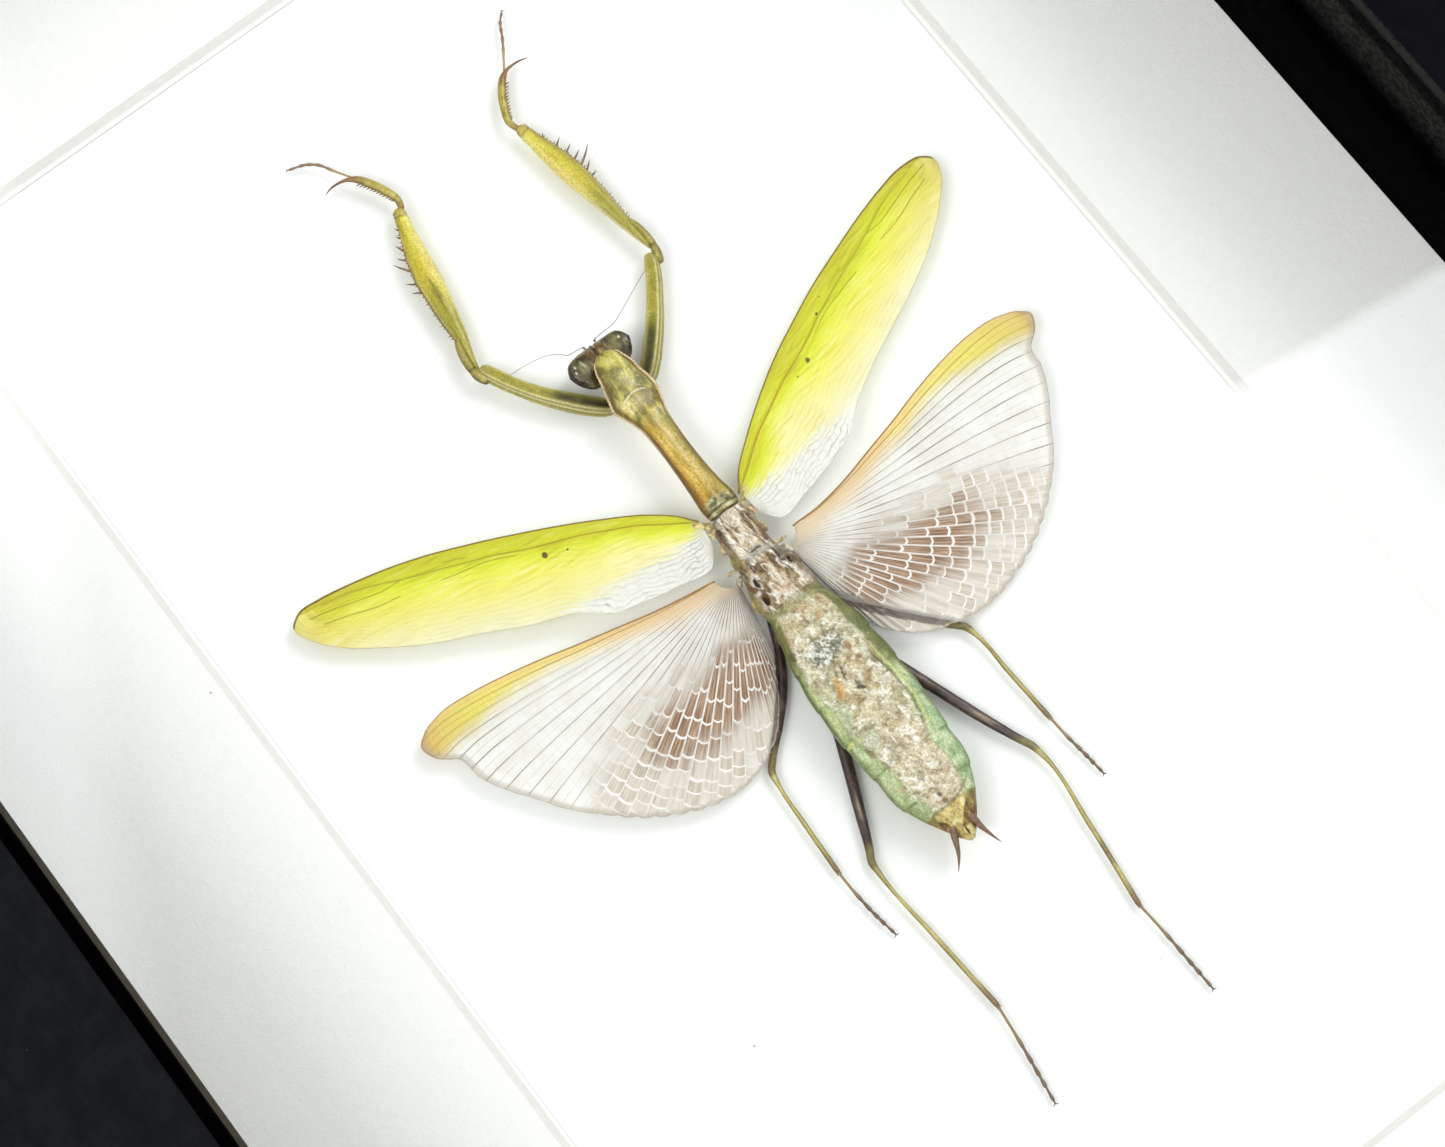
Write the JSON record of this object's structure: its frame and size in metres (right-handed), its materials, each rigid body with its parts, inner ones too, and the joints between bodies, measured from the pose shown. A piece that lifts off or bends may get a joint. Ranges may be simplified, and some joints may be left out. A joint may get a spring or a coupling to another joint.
{
  "type": "framed praying mantis specimen",
  "caption": "Spread praying mantis on white board behind a bevelled white mat, in a deep black shadow-box frame with glass, lying on its back.",
  "frame": {"origin": "under the middle of the frame, in the plane of the rails' back faces", "axes": "+Z out of the front of the frame, +Y from the mantis's abdomen to its head, +X to the right as seen from the front"},
  "size_m": [0.2416, 0.3212, 0.05],
  "materials": {
    "black_moulding": "matt black painted wood",
    "picture_glass": "clear",
    "black_spacer": "matt",
    "white_mat_board": "fine paper grain, cream core on the bevel",
    "white_backing_board": "smooth white board",
    "brown_hardboard": "hardboard",
    "green_cuticle": "dried insect cuticle, green sides and a rough cream back",
    "dark_cuticle": "dark olive and brown, glossy on the eyes",
    "tan_cuticle": "olive green to golden tan",
    "leg_cuticle": "olive and dark brown",
    "foreleg_cuticle": "yellow green with brown spines",
    "forewing_membrane": "lime green leathery wing with a pale rear half",
    "hindwing_membrane": "clear membrane with brown patches and an orange leading edge"
  },
  "bodies": {
    "root": {"frame_rail_top": "black_moulding", "frame_rail_bottom": "black_moulding", "frame_rail_left": "black_moulding", "frame_rail_right": "black_moulding", "glass_pane": "picture_glass", "spacer_top": "black_spacer", "spacer_bottom": "black_spacer", "spacer_left": "black_spacer", "spacer_right": "black_spacer", "mat": "white_mat_board", "backing_board": "white_backing_board", "back_panel": "brown_hardboard", "head": "dark_cuticle", "antenna_left": "dark_cuticle", "antenna_right": "dark_cuticle", "pronotum": "tan_cuticle", "body": "green_cuticle", "foreleg_left": "foreleg_cuticle", "foreleg_right": "foreleg_cuticle", "mid_leg_left": "leg_cuticle", "mid_leg_right": "leg_cuticle", "hind_leg_left": "leg_cuticle", "hind_leg_right": "leg_cuticle", "forewing_left": "forewing_membrane", "forewing_right": "forewing_membrane", "hindwing_left": "hindwing_membrane", "hindwing_right": "hindwing_membrane"}
  },
  "joints": []
}
